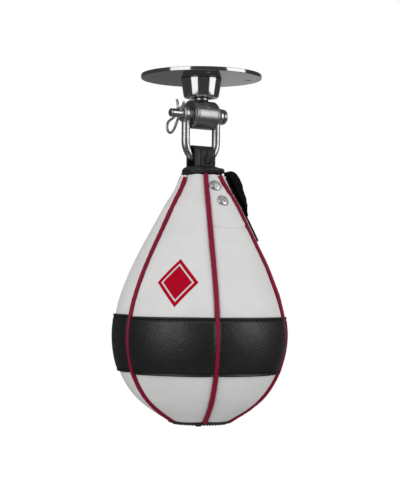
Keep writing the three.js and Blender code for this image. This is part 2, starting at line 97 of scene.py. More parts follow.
# The strap's centre line on one side, from its tail inside the bag up to the crown: Y and Z.
STRAP_ROUTE = [
    (-29.6, -134), (-21.2, -119), (-13, -109), (-7.4, -101.5), (-7, -96), (-7, -88),
    (-6.8, -79.8), (-5, -75.4), (0, -73.6),
]
# The padded flap over the lacing, from the collar down: radius and height of its outer and inner faces.
FLAP_OUTER = [
    (23, -99), (27.5, -98.2), (31, -98.9), (34, -100.8), (36.6, -104), (38.4, -107.7), (40, -112),
    (41.7, -117), (43.9, -123.2), (45.3, -129), (45.8, -134), (46.1, -138.5), (46.6, -143.8),
]
FLAP_INNER = [
    (23, -101.8), (24.9, -103.2), (26.6, -105.4), (28.6, -108.6), (30.4, -112), (32.2, -116), (34, -120),
    (36.8, -125), (39.4, -129.4), (41.2, -132.6), (42.9, -137), (44.3, -140.6), (45.6, -143.8),
]
# The leather's outline from neck to base: radius and height.
BAG_OUTLINE = [
    (22.4, -102.8), (29.2, -118), (38.6, -134), (55.3, -166.6), (71, -199), (82.7, -232),
    (87.2, -264), (82, -297), (69, -321), (53.2, -336.8), (31.8, -350.6),
]
# Each seam's bearing in degrees at the neck, the widest ring and the base.
SEAMS = [
    (187, 180.8, 179), (242, 245.5, 245), (296, 310.5, 315),
    (362, 367, 370), (418, 424.5, 421), (481, 482.5, 475),
]
# How many degrees each seam bends off its curve where it meets the collar.
NECK_BENDS = (0, 0, -12, 0, 0, 0)
WIDEST_Z = -264
# How much higher each gore's band patch was sewn.
BAND_LIFTS = (0, 0, 0, 0, 0, 1.8)
PIPING_TOPS = (-106.6, -102.9, -104.2, -104, -105, -104.5)
# The level direction in which the neck sits off centre.
LEAN = np.array((math.cos(math.radians(-36)), math.sin(math.radians(-36)), 0.0))
RIVET_PLACES = {
    "rivet_front_upper": (262.5, -114.6),
    "rivet_front_lower": (269, -130),
    "rivet_back_upper": (82.5, -114.6),
    "rivet_back_lower": (89, -130),
}


def hump(values, middle, width):
    """A smooth bump, 1 at its middle and falling away over a width."""
    return np.exp(-(((values - middle) / width) ** 2))


def rolled(edge, reach):
    """The rise of a rounded edge from 0 to 1, by the distance in from it."""
    return np.sqrt(np.clip(1 - (1 - np.clip(edge / reach, 0, 1)) ** 2, 0, 1))


def span(node):
    """A CAD node's lowest and highest corners in millimetres."""
    low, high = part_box(node)
    return np.array(low) / MM, np.array(high) / MM


def rim(node):
    """A round CAD node's radius, and the heights of its bottom and top."""
    low, high = span(node)
    return high[0], low[2], high[2]


# ---- camera ----
CAMERA_AZIMUTH = -36
CAMERA_DISTANCE = 1473
CAMERA_HEIGHT = -219
CAMERA_PITCH = 1.58
CAMERA_ROLL = 0.5
CAMERA_ASIDE = 0.1
SENSOR = 36
LENS = 104.4
AZIMUTH = math.radians(CAMERA_AZIMUTH)
TO_CAMERA = Vector((math.sin(AZIMUTH), -math.cos(AZIMUTH), 0))
TO_RIGHT = Vector((math.cos(AZIMUTH), math.sin(AZIMUTH), 0))


def add_object(name, data):
    added = bpy.data.objects.new(name, data)
    bpy.context.scene.collection.objects.link(added)
    return added


def turned(degrees, axis):
    return Matrix.Rotation(math.radians(degrees), 4, axis)


def aim_camera():
    data = bpy.data.cameras.new("camera")
    data.lens = LENS
    data.sensor_width = SENSOR
    camera = add_object("camera", data)
    place = TO_CAMERA * CAMERA_DISTANCE + TO_RIGHT * CAMERA_ASIDE + Vector((0, 0, CAMERA_HEIGHT))
    camera.location = place * MM
    turn = turned(CAMERA_AZIMUTH, "Z") @ turned(90 + CAMERA_PITCH, "X") @ turned(CAMERA_ROLL, "Z")
    camera.rotation_euler = turn.to_euler()
    bpy.context.scene.camera = camera


# ---- studio ----
def add_node(tree, kind, sockets, operation=None):
    """A shader node whose sockets, by name or place, are fed from another node or set to a value."""
    node = tree.nodes.new("ShaderNode" + kind)
    if operation:
        node.operation = operation
    for key, value in sockets.items():
        if isinstance(value, bpy.types.NodeSocket):
            tree.links.new(value, node.inputs[key])
        else:
            node.inputs[key].default_value = value
    return node


def map_range(tree, value, start, end, low, high):
    sockets = {"Value": value, "From Min": start, "From Max": end, "To Min": low, "To Max": high}
    return add_node(tree, "MapRange", sockets).outputs["Result"]


def direction_ramp(tree, towards, start, low, end, high):
    """A value that rises from low to high as a direction turns towards the given one."""
    coords = add_node(tree, "TexCoord", {})
    facing = add_node(tree, "VectorMath", {0: coords.outputs["Generated"], 1: towards}, "DOT_PRODUCT")
    return map_range(tree, facing.outputs["Value"], start, end, low, high)


def studio_world():
    """White for the camera, a dim room with pale patches for the metal, and a soft glow for the rest."""
    world = bpy.data.worlds.new("studio")
    world.use_nodes = True
    bpy.context.scene.world = world
    bpy.context.scene.view_settings.view_transform = "Standard"
    tree = world.node_tree
    tree.nodes.clear()
    behind = direction_ramp(tree, -TO_CAMERA, 0.80, 0.0, 0.96, 0.45)
    right = direction_ramp(tree, TO_RIGHT, -0.005, 0.12, 0.02, 0.60)
    below = direction_ramp(tree, (0, 0, -1), 0.60, 0.065, 0.85, 0.185)
    above = direction_ramp(tree, (0, 0, 1), 0.56, 0.0, 0.86, 0.46)
    glow = direction_ramp(tree, (0, 0, 1), -1, 0.50, 1, 0.74)
    wall = add_node(tree, "Math", {0: behind, 1: right, 2: below}, "MULTIPLY_ADD")
    shade = add_node(tree, "Math", {0: wall.outputs["Value"], 1: above}, "ADD")
    ray = add_node(tree, "LightPath", {}).outputs
    lit = {"Factor": ray["Is Diffuse Ray"], "A": shade.outputs["Value"], "B": glow}
    room = add_node(tree, "Background", {"Color": add_node(tree, "Mix", lit).outputs["Result"]})
    seen = add_node(tree, "Background", {"Color": (1, 1, 1, 1)})
    views = {"Fac": ray["Is Camera Ray"], 1: room.outputs[0], 2: seen.outputs[0]}
    mix = add_node(tree, "MixShader", views)
    add_node(tree, "OutputWorld", {"Surface": mix.outputs[0]})


def softbox(name, bearing, distance, height, width, tall, energy):
    """An area light that faces the bag from a bearing, in degrees from the camera's side."""
    data = bpy.data.lights.new(name, "AREA")
    data.shape = "RECTANGLE"
    data.size = width * MM
    data.size_y = tall * MM
    data.energy = energy
    light = add_object(name, data)
    angle = AZIMUTH + math.radians(bearing - 90)
    place = Vector((math.cos(angle), math.sin(angle), 0)) * distance + Vector((0, 0, height))
    light.location = place * MM
    aim = Vector((0, 0, height - 200)) - place
    light.rotation_euler = aim.to_track_quat("-Z", "Y").to_euler()


def pale_floor():
    size, level = 2600, -1500
    corners = [(x * size, y * size, level) for x, y in ((-1, -1), (1, -1), (1, 1), (-1, 1))]
    floor = mesh_object("floor", corners, [(0, 1, 2, 3)], "floor")
    floor.visible_diffuse = False
    floor.visible_glossy = False


# ---- material tools ----
class Surface:
    """A principled material with helpers for the procedural detail that runs into it."""

    def __init__(self, name, color, roughness, metallic=0.0, **sockets):
        self.material = bpy.data.materials.new(name)
        self.material.use_nodes = True
        self.tree = self.material.node_tree
        self.shader = self.tree.nodes["Principled BSDF"]
        self.color = color
        self.normal = None
        sockets.update(Base_Color=(*color, 1), Roughness=roughness, Metallic=metallic)
        for socket, value in sockets.items():
            self.shader.inputs[socket.replace("_", " ")].default_value = value

    def feed(self, socket, value):
        self.tree.links.new(value, self.shader.inputs[socket])

    def coords(self):
        return add_node(self.tree, "TexCoord", {}).outputs["Object"]

    def turned_coords(self, axis):
        """The distance from an axis and the place along it, for lines left by a lathe."""
        upright = axis == "z"
        centre = (0, 0, 0) if upright else (0, 0, -PIN_AXIS * MM)
        level = (1, 1, 0) if upright else (0, 1, 1)
        place = add_node(self.tree, "VectorMath", {0: self.coords(), 1: centre}, "ADD").outputs["Vector"]
        flat = add_node(self.tree, "VectorMath", {0: place, 1: level}, "MULTIPLY").outputs["Vector"]
        length = add_node(self.tree, "VectorMath", {0: flat}, "LENGTH").outputs["Value"]
        along = add_node(self.tree, "SeparateXYZ", {0: place}).outputs["Z" if upright else "X"]
        return add_node(self.tree, "CombineXYZ", {"X": length, "Y": along}).outputs["Vector"]

    def noise(self, scale, detail=3.0, rough=0.5, vector=None):
        sockets = {"Scale": scale, "Detail": detail, "Roughness": rough, "Vector": vector or self.coords()}
        return add_node(self.tree, "TexNoise", sockets).outputs["Fac"]

    def cells(self, scale):
        sockets = {"Scale": scale, "Vector": self.coords()}
        return add_node(self.tree, "TexVoronoi", sockets).outputs["Distance"]

    def tint(self, value, dark, light):
        """Moves the colour between two shades of itself by a value from 0 to 1."""
        ramp = add_node(self.tree, "ValToRGB", {"Fac": value})
        for stop, position, shade in zip(ramp.color_ramp.elements, (0.3, 0.7), (dark, light)):
            stop.color = (*[c * shade for c in self.color], 1)
            stop.position = position
        self.feed("Base Color", ramp.outputs["Color"])

    def rough(self, value, low, high):
        self.feed("Roughness", map_range(self.tree, value, 0.3, 0.7, low, high))

    def bump(self, value, distance):
        sockets = {"Height": value, "Distance": distance * MM, "Strength": 1.0}
        if self.normal:
            sockets["Normal"] = self.normal
        self.normal = add_node(self.tree, "Bump", sockets).outputs["Normal"]
        self.feed("Normal", self.normal)


def turned_steel(name, color, roughness, axis):
    surface = Surface(name, color, roughness, metallic=1.0)
    lines = surface.noise(2600, detail=2.0, vector=surface.turned_coords(axis))
    surface.rough(lines, roughness * 0.75, roughness * 1.3)
    surface.bump(lines, 0.004)
    surface.tint(surface.noise(60, detail=4.0), 0.93, 1.05)
    return surface.material


def tumbled_steel(name, color, roughness, lumps):
    surface = Surface(name, color, roughness, metallic=1.0)
    surface.rough(surface.noise(320, detail=4.0), roughness * 0.7, roughness * 1.4)
    surface.tint(surface.noise(150), 0.86, 1.06)
    surface.bump(surface.noise(260, detail=2.0), lumps)
    return surface.material


def grained_leather(name, color, roughness, grain, depth, creases, shine=0.45, coat=0.0):
    """Leather: fine cells for the grain, longer creases, and a slow change of shade."""
    gloss = {"Specular_IOR_Level": shine, "Coat_Weight": coat, "Coat_Roughness": 0.35}
    surface = Surface(name, color, roughness, **gloss)
    surface.tint(surface.noise(38, detail=5.0, rough=0.6), 0.95, 1.03)
    surface.rough(surface.noise(90), roughness * 0.88, roughness * 1.12)
    surface.bump(surface.noise(grain * 0.22, detail=5.0, rough=0.65), creases)
    surface.bump(surface.cells(grain), depth)
    return surface.material


def make_materials():
    white = (0.9, 0.9, 0.9)
    plain = {
        "floor": Surface("floor", white, 0.9, Emission_Color=(1, 1, 1, 1), Emission_Strength=0.4),
        "latex": Surface("latex", (0.47, 0.33, 0.15), 0.5),
        "acetal": Surface("acetal", (0.77, 0.76, 0.70), 0.45),
        "rubber": Surface("valve_rubber", (0.02, 0.02, 0.02), 0.6),
        "braid": Surface("lace_cord", (0.004, 0.004, 0.004), 0.75, Specular_IOR_Level=0.15),
        "dark_thread": Surface("black_thread", (0.006, 0.006, 0.006), 0.6),
        "pale_thread": Surface("white_thread", (0.42, 0.41, 0.40), 0.7),
        "emblem": Surface("emblem_red", (0.44, 0.0004, 0.017), 0.6, Specular_IOR_Level=0.05),
        "emblem_line": Surface("emblem_white", (0.66, 0.655, 0.645), 0.5),
        "bronze": Surface("bronze", (0.25, 0.19, 0.12), 0.5, metallic=1.0),
    }
    tints = {"latex": (50, 3, 0.85, 1.1), "emblem": (60, 4, 0.94, 1.04), "emblem_line": (60, 4, 0.96, 1.02)}
    for look, (scale, detail, dark, light) in tints.items():
        plain[look].tint(plain[look].noise(scale, detail), dark, light)
    fuzz = {
        "acetal": (700, 3, 0.01), "rubber": (900, 4, 0.03),
        "dark_thread": (2500, 3, 0.05), "pale_thread": (2500, 3, 0.05),
    }
    for look, (scale, detail, depth) in fuzz.items():
        plain[look].bump(plain[look].noise(scale, detail), depth)
    for look, scale, depth in (("braid", 1300, 0.12), ("emblem", 720, 0.03)):
        plain[look].bump(plain[look].cells(scale), depth)
    plain["bronze"].rough(plain["bronze"].noise(400), 0.42, 0.58)
    black = (0.015, 0.015, 0.015)
    return {
        **{look: surface.material for look, surface in plain.items()},
        "flange": turned_steel("flange_steel", (0.56, 0.56, 0.57), 0.10, "z"),
        "barrel": turned_steel("barrel_steel", (0.50, 0.50, 0.51), 0.33, "x"),
        "bright": turned_steel("bright_steel", (0.62, 0.62, 0.63), 0.24, "x"),
        "shackle": tumbled_steel("shackle_steel", (0.74, 0.74, 0.75), 0.3, 0.05),
        "wire": tumbled_steel("wire_steel", (0.90, 0.90, 0.91), 0.35, 0.01),
        "chrome": tumbled_steel("rivet_chrome", (0.80, 0.80, 0.81), 0.34, 0.004),
        "white": grained_leather("white_leather", (0.765, 0.762, 0.758), 0.5, 720, 0.05, 0.09),
        "band": grained_leather("band_leather", (0.010, 0.010, 0.0105), 0.42, 620, 0.16, 0.16, shine=0.8),
        "black": grained_leather("black_leather", black, 0.44, 560, 0.08, 0.3, shine=0.6, coat=0.15),
        "matte": grained_leather("matte_leather", (0.004, 0.004, 0.004), 0.7, 560, 0.12, 0.3, shine=0.15),
        "red": grained_leather("red_piping", (0.25, 0.001, 0.030), 0.45, 900, 0.12, 0.2, shine=0.25),
    }


# ---- mesh tools ----
def mesh_object(name, points, faces, look, crease=35):
    """A smooth-shaded object from points in millimetres, with its faces turned outwards."""
    mesh = bpy.data.meshes.new(name)
    mesh.from_pydata((np.asarray(points) * MM).tolist(), [], faces)
    shaped = bmesh.new()
    shaped.from_mesh(mesh)
    bmesh.ops.recalc_face_normals(shaped, faces=shaped.faces)
    shaped.to_mesh(mesh)
    shaped.free()
    smooth(mesh, crease)
    if look:
        mesh.materials.append(LOOK[look])
    return add_object(name, mesh)


def smooth(mesh, crease):
    mesh.shade_smooth()
    mesh.set_sharp_from_angle(angle=math.radians(crease))


def bake_modifiers(piece, crease=35):
    view = bpy.context.evaluated_depsgraph_get()
    mesh = bpy.data.meshes.new_from_object(piece.evaluated_get(view))
    piece.modifiers.clear()
    piece.data = mesh
    smooth(mesh, crease)


def modify(piece, kind, **settings):
    modifier = piece.modifiers.new(kind, kind)
    for name, value in settings.items():
        setattr(modifier, name, value)


def combine(piece, tool, operation):
    modify(piece, "BOOLEAN", object=tool, operation=operation, solver="EXACT")
    bake_modifiers(piece)
    bpy.data.objects.remove(tool)


def rounded(profile, radius, closed=False, steps=4):
    """A plane outline with its corners rounded off."""
    points = [np.array(point, float) for point in profile]
    out = []
    for i, point in enumerate(points):
        if not closed and i in (0, len(points) - 1):
            out.append(point)
            continue
        before = points[i - 1] - point
        after = points[(i + 1) % len(points)] - point
        reach = min(radius, 0.45 * np.linalg.norm(before), 0.45 * np.linalg.norm(after))
        start, end = point + unit(before) * reach, point + unit(after) * reach
        for t in np.linspace(0, 1, steps + 1):
            out.append((1 - t) ** 2 * start + 2 * t * (1 - t) * point + t * t * end)
    return out


def lathe(name, profile, look, axis="z", centre=(0, 0, 0), segments=128, closed=False):
    """An outline of (radius, place along the axis) turned about an axis parallel to Z or X."""
    points, rings, faces = [], [], []
    for radius, height in profile:
        first = len(points)
        if radius < 1e-6:
            points.append((0, 0, height))
            rings.append([first] * segments)
            continue
        points += [(x, y, height) for x, y in circle(radius, segments)]
        rings.append(list(range(first, first + segments)))
    pairs = list(zip(rings, rings[1:])) + ([(rings[-1], rings[0])] if closed else [])
    for low, high in pairs:
        for i in range(segments):
            j = (i + 1) % segments
            corners = list(dict.fromkeys((low[i], low[j], high[j], high[i])))
            if len(corners) > 2:
                faces.append(corners)
    order = [2, 0, 1] if axis == "x" else [0, 1, 2]
    return mesh_object(name, np.array(points)[:, order] + centre, faces, look)


def ring(inner, outer, low, high, soften=0.3):
    corners = [(inner, low), (outer, low), (outer, high), (inner, high)]
    return rounded(corners, soften, closed=True)


def bar(radius, low, high, soften=0.6):
    return rounded([(0, low), (radius, low), (radius, high), (0, high)], soften)


def circle(radius, sides):
    turns = np.linspace(0, 2 * math.pi, sides, endpoint=False)
    return np.stack([radius * np.cos(turns), radius * np.sin(turns)], axis=1)


def slab(width, thickness, corner):
    half, deep = width / 2, thickness / 2
    corners = [(-half, -deep), (half, -deep), (half, deep), (-half, deep)]
    return np.array(rounded(corners, corner, closed=True))


def both_ends(profile):
    """An outline of (radius, place along the axis), with its mirror image before it."""
    return [(radius, -along) for radius, along in profile[::-1]] + profile


def unit(vectors):
    return vectors / np.linalg.norm(vectors, axis=-1, keepdims=True)


def spline(points, count):
    """A smooth curve through the points, stepped evenly along its length."""
    padded = np.pad(np.array(points, float), ((1, 1), (0, 0)), "reflect", reflect_type="odd")
    pieces = []
    for a, b, c, d in zip(padded, padded[1:], padded[2:], padded[3:]):
        t = np.linspace(0, 1, 24, endpoint=False)[:, None]
        bend = (2 * a - 5 * b + 4 * c - d) * t**2 + (3 * b - a - 3 * c + d) * t**3
        pieces.append(b + 0.5 * ((c - a) * t + bend))
    fine = np.vstack(pieces + [padded[-2:-1]])
    along = np.concatenate([[0], np.cumsum(np.linalg.norm(np.diff(fine, axis=0), axis=1))])
    even = np.linspace(0, along[-1], count)
    return np.stack([np.interp(even, along, fine[:, k]) for k in range(fine.shape[1])], axis=1)


def tube_faces(rows, columns):
    """The side faces of a tube whose points are listed ring by ring."""
    faces = []
    for i in range(rows - 1):
        low, high = i * columns, (i + 1) * columns
        for j in range(columns):
            k = (j + 1) % columns
            faces.append((low + j, low + k, high + k, high + j))
    return faces


def sweep(name, centres, sides, section, look, domed=0.0):
    """A section carried along a path. sides gives its first axis, once or for each point."""
    along = unit(np.gradient(centres, axis=0))
    ups = unit(np.cross(along, sides))
    sides = np.cross(ups, along)
    sizes = np.ones(len(centres))
    if domed:
        angles = np.radians((78, 50, 22))
        lead = [centres[0] - along[0] * domed * math.sin(a) for a in angles]
        tail = [centres[-1] + along[-1] * domed * math.sin(a) for a in angles[::-1]]
        centres = np.vstack([lead, centres, tail])
        sides, ups = (np.pad(axes, ((3, 3), (0, 0)), "edge") for axes in (sides, ups))
        sizes = np.concatenate([np.cos(angles), sizes, np.cos(angles[::-1])])
    offsets = sides[:, None] * section[None, :, :1] + ups[:, None] * section[None, :, 1:]
    rings = centres[:, None] + offsets * sizes[:, None, None]
    rows, columns = rings.shape[:2]
    points = np.vstack([rings.reshape(-1, 3), centres[:1], centres[-1:]])
    faces = tube_faces(rows, columns)
    start, last = rows * columns, (rows - 1) * columns
    for j in range(columns):
        k = (j + 1) % columns
        faces += [(start, k, j), (start + 1, last + j, last + k)]
    return mesh_object(name, points, faces, look, 50)


def shell(name, face, sides, columns, rows, look, crease=60):
    """A closed sheet between the outer and inner sides of a surface of (u, v), each from 0 to 1."""
    v, u = np.meshgrid(np.linspace(0, 1, rows + 1), np.linspace(0, 1, columns + 1), indexing="ij")
    points = np.vstack([face(u, v, side).reshape(-1, 3) for side in sides])
    count = (columns + 1) * (rows + 1)
    at = lambda i, j: j * (columns + 1) + i
    faces = []
    for j in range(rows):
        for i in range(columns):
            corners = (at(i, j), at(i + 1, j), at(i + 1, j + 1), at(i, j + 1))
            faces += [corners, tuple(count + corner for corner in corners[::-1])]
    edge = [at(i, 0) for i in range(columns)] + [at(columns, j) for j in range(rows)]
    edge += [at(i, rows) for i in range(columns, 0, -1)] + [at(0, j) for j in range(rows, 0, -1)]
    for a, b in zip(edge, edge[1:] + edge[:1]):
        faces.append((b, a, count + a, count + b))
    return mesh_object(name, points, faces, look, crease)


def stitches(name, places, alongs, outs, length, radius, look, slot):
    """A row of stitches on the bag: one small bowed thread for each place, joined in one object."""
    stations = np.array([-0.5, -0.36, 0, 0.36, 0.5]) * length
    lifts = np.array([-0.9, 0.2, 0.55, 0.2, -0.9]) * radius
    sizes = np.array([0.5, 0.95, 1, 0.95, 0.5]) * radius
    cosines, sines = circle(1, 8).T
    across = unit(np.cross(alongs, outs))
    rings = (
        places[:, None, None]
        + alongs[:, None, None] * stations[None, :, None, None]
        + outs[:, None, None] * (lifts[:, None] + sizes[:, None] * sines)[None, :, :, None]
        + across[:, None, None] * (sizes[:, None] * cosines)[None, :, :, None]
    )
    single = tube_faces(len(stations), 8) + [tuple(range(7, -1, -1)), tuple(range(32, 40))]
    faces = [tuple(corner + 40 * n for corner in face) for n in range(len(places)) for face in single]
    place_piece(mesh_object(name, rings.reshape(-1, 3), faces, look, 60), "bag", slot)


def wobble(points, scale, amount, seed, stretch=(1, 1, 1)):
    """Smooth noise in millimetres at each point, with lumps about scale millimetres apart."""
    flat = points.reshape(-1, 3) / (scale * np.array(stretch)) + seed
    values = np.array([noise.noise(Vector(p)) for p in flat])
    return amount * values.reshape(points.shape[:-1])


def read_vectors(mesh, what):
    values = np.zeros(len(mesh.vertices) * 3)
    mesh.vertices.foreach_get(what, values)
    return values.reshape(-1, 3)


def reshape(piece, change):
    """Moves a finished piece's points by a function of their places in millimetres."""
    places = change(read_vectors(piece.data, "co") / MM) * MM
    piece.data.vertices.foreach_set("co", places.ravel())
    piece.data.update()


def roughen(piece, scale, amount, seed, stretch=(1, 1, 1)):
    """Moves a finished piece's surface in and out a little along its normals."""
    normals = read_vectors(piece.data, "normal")
    reshape(piece, lambda places: places + normals * wobble(places, scale, amount, seed, stretch)[:, None])


def stand(piece, place, up):
    """Moves a piece made upright at the origin to a place, with its top turned to a direction."""
    turn = Vector((0, 0, 1)).rotation_difference(Vector(up)).to_matrix().to_4x4()
    piece.data.transform(Matrix.Translation(Vector(place) * MM) @ turn)


def spread_out(profile, step):
    """Adds points to an outline so that none are further apart than a step."""
    out = profile[:1]
    for point in profile[1:]:
        count = max(1, math.ceil(np.linalg.norm(point - out[-1]) / step))
        out += list(np.linspace(out[-1], point, count + 1)[1:])
    return out


def around(angles, radius, height):
    """Places on a level circle, with the directions outwards and along it."""
    level = np.zeros_like(angles)
    outs = np.stack([np.cos(angles), np.sin(angles), level], axis=-1)
    alongs = np.stack([-np.sin(angles), np.cos(angles), level], axis=-1)
    return outs * radius + (0, 0, height), outs, alongs


def dense_at_edges(u):
    return 0.5 - 0.5 * np.cos(math.pi * u)


def place_piece(piece, body, slot, *nodes):
    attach(piece, body)
    if nodes:
        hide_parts(*nodes)


# ---- the bag's surface ----
class Outline:
    """The leather's side view: radius, height and outward normal by fraction of its length."""

    def __init__(self):
        self.curve = self.eased(spline(BAG_OUTLINE, 800))
        along = unit(np.gradient(self.curve, axis=0))
        self.normal = np.stack([-along[:, 1], along[:, 0]], axis=1)
        self.s = np.linspace(0, 1, len(self.curve))
        self.length = np.linalg.norm(np.diff(self.curve, axis=0), axis=1).sum()

    @staticmethod
    def eased(curve):
        """Evens out the change of curvature at the knots."""
        kernel = np.hanning(61)
        kernel /= kernel.sum()
        reach = len(kernel) // 2
        padded = np.pad(curve, ((reach, reach), (0, 0)), "reflect", reflect_type="odd")
        return np.stack([np.convolve(padded[:, k], kernel, "valid") for k in range(2)], axis=1)

    def at_height(self, z):
        return np.interp(-np.asarray(z, float), -self.curve[:, 1], self.s)

    def radius(self, s):
        return np.interp(s, self.s, self.curve[:, 0])

    def height(self, s):
        return np.interp(s, self.s, self.curve[:, 1])

    def point(self, s, degrees, out):
        radius = self.radius(s) + np.interp(s, self.s, self.normal[:, 0]) * out
        height = self.height(s) + np.interp(s, self.s, self.normal[:, 1]) * out
        angle = np.radians(degrees)
        places = np.broadcast_arrays(radius * np.cos(angle), radius * np.sin(angle), height)
        return hung(np.stack(places, axis=-1))

    def out(self, s, degrees):
        return unit(self.point(s, degrees, 1.0) - self.point(s, degrees, 0.0))


def hung(places):
    """Places moved off the swivel's axis, as far as the hanging leather sits at each height."""
    return places + (0.5 + 1.7 * hump(places[..., 2:], -100, 75)) * LEAN


outline = Outline()


def seam_bearing(k, z):
    """A seam's bearing at a height: a parabola through its three bearings, with its bend at the neck."""
    knots = (BAG_OUTLINE[0][1], WIDEST_Z, BAG_OUTLINE[-1][1])
    bearing = NECK_BENDS[k % 6] * hump(z, knots[0], 15) + 360 * (k // 6)
    for knot, at_knot in zip(knots, SEAMS[k % 6]):
        others = [other for other in knots if other != knot]
        bearing = bearing + at_knot * math.prod((z - other) / (knot - other) for other in others)
    return bearing


def gore_bearing(k, u, s, clear):
    z = outline.height(s)
    margin = np.degrees(clear / outline.radius(s))
    return (seam_bearing(k, z) + margin) * (1 - u) + (seam_bearing(k + 1, z) - margin) * u


def leather_out(k, bearing, s):
    """How far gore k's face stands off the outline: rolled in at the seams, puckered and dimpled."""
    z = outline.height(s)
    first, last = seam_bearing(k, z), seam_bearing(k + 1, z)
    from_seam = np.radians(np.minimum(bearing - first, last - bearing)) * outline.radius(s)
    places = outline.point(s, bearing, 0.0)
    out = -1.5 * hump(from_seam, 0, 2.3) - 0.5 * hump(from_seam, 0, 8)
    out += wobble(places, 5.5, 0.34, 3.0) * np.exp(-from_seam / 6.0)
    out += wobble(places, 42.0, 0.7, 11.0)
    from_neck = outline.height(0.0) - z
    out += wobble(places, 4.0, 0.8, 20.0, (1, 1, 4)) * np.exp(-from_neck / 12.0)
    out += wobble(places, 3.2, 0.4, 31.0, (8, 8, 1)) * hump(from_neck, 22, 14)
    for degrees, height in RIVET_PLACES.values():
        dent = outline.point(outline.at_height(height), degrees, 0.0)
        out -= 0.9 * hump(np.linalg.norm(places - dent, axis=-1), 0, 8)
    if k in (1, 4):
        above = z - patch_line((bearing - first) / (last - first))
        out += 0.5 * hump(above, 3.4, 1.8) - 0.8 * hump(above, 0, 1.6)
    return out


def patch_line(across):
    """The height of the stitching round the riveted tail of the strap, by place across its gore."""
    return -157.4 + 2.6 * (2 * across - 1) ** 2


# ---- mount and swivel ----
def make_flange():
    radius, bottom, top = rim("flange_plate")
    profile = rounded([(0, bottom), (radius, bottom), (radius, top), (0, top)], PLATE_EDGE, steps=6)
    plate = lathe("flange", profile, "flange", segments=256)
    flare = HOLE_RADIUS + 1.5
    for step in range(4):
        angle = math.radians(FIRST_HOLE_DEG + 90 * step)
        centre = (HOLE_PITCH_RADIUS * math.cos(angle), HOLE_PITCH_RADIUS * math.sin(angle), 0)
        tool = [
            (0, bottom - 1), (flare, bottom - 1), (HOLE_RADIUS, bottom + 0.5),
            (HOLE_RADIUS, -0.5), (flare, 1), (0, 1),
        ]
        combine(plate, lathe("drill", tool, None, centre=centre, segments=48), "DIFFERENCE")
    place_piece(plate, "mount", "brushed_flange", "flange_plate")


def make_housing():
    radius, bottom, top = rim("socket_housing")
    mouth, shelf, bore, foot = 10, 1.3, 14, 17.9
    corners = [
        (mouth, bottom), (foot - 1.3, bottom), (foot, bottom + 1.3), (radius, top),
        (bore, top), (bore, bottom + shelf), (mouth, bottom + shelf),
    ]
    profile = rounded(corners, 0.45, closed=True)
    housing = lathe("housing", profile, "flange", segments=192, closed=True)
    place_piece(housing, "mount", "brushed_flange", "socket_housing")


def make_ball():
    latitudes = np.linspace(-math.asin(BALL_FLAT / BALL_RADIUS), math.asin(8 / BALL_RADIUS), 40)
    skin = [(BALL_RADIUS * math.cos(a), BALL_CENTRE + BALL_RADIUS * math.sin(a)) for a in latitudes]
    shelf = BALL_CENTRE + 4.8
    corners = skin + [(5.3, BALL_CENTRE + 8), (5.3, shelf), (3.9, shelf), (3.9, BALL_CENTRE - BALL_FLAT)]
    ball = lathe("ball", corners, "chrome", segments=96, closed=True)
    place_piece(ball, "swivel", "bright_steel", "pivot_ball")


def make_barrel():
    floor, groove = BARREL_RADIUS - 0.7, BARREL_HALF - 2.2
    end = [
        (BARREL_RADIUS, groove - 0.5), (floor, groove - 0.2), (floor, groove + 0.2),
        (BARREL_RADIUS, groove + 0.5), (BARREL_RADIUS, BARREL_HALF), (0, BARREL_HALF),
    ]
    barrel = lathe("barrel", rounded(both_ends(end), 0.6), "barrel", "x", PIN_CENTRE, 192)
    neck_top = BALL_CENTRE - BALL_FLAT - 0.3
    flare = [
        (12.9, -34), (11.9, -32.3), (10.8, -30.8), (9.7, -29.4), (8.7, -28.3),
        (7.8, -27.3), (7.2, -26.4), (7.15, -25.4), (7.3, -24.4), (7, neck_top),
    ]
    neck = [(0, -35), (12.9, -35), *spline(flare, 24), (3.6, neck_top), (3.6, -8), (0, -8)]
    combine(barrel, lathe("neck", neck, None, segments=96), "UNION")
    shoulder = 6.2
    bore = [
        (THROAT, shoulder), (BEARING_BORE, shoulder), (BEARING_BORE, BARREL_HALF - 0.5),
        (BEARING_BORE + 0.5, BARREL_HALF), (BEARING_BORE + 0.5, 15), (0, 15),
    ]
    combine(barrel, lathe("bore", both_ends(bore), None, "x", PIN_CENTRE), "DIFFERENCE")
    place_piece(barrel, "swivel", "brushed_flange", "swivel_barrel")


def make_bearings():
    rings = [
        ("outer_race", 9.6, 11.0, 6.5, 13.5, "swivel", "bearing_outer_race_", "bright"),
        ("shield", 6.7, 9.3, 12.7, 13.2, "swivel", "bearing_shield_", "barrel"),
        ("inner_race", 4.75, 6.4, 6.5, 13.5, "shackle", "bearing_inner_race_", "bright"),
        ("washer", 4.75, 6.4, 13.8, 18.6, "shackle", "washer_", "bright"),
    ]
    for stem, inner, outer, near, far, body, node, look in rings:
        for side, sign in (("left", -1), ("right", 1)):
            low, high = sorted((sign * near, sign * far))
            profile = ring(inner, outer, low, high, 0.6 if stem == "outer_race" else 0.25)
            piece = lathe(f"{stem}_{side}", profile, look, "x", PIN_CENTRE, 96, closed=True)
            place_piece(piece, body, "bright_steel", node + side)


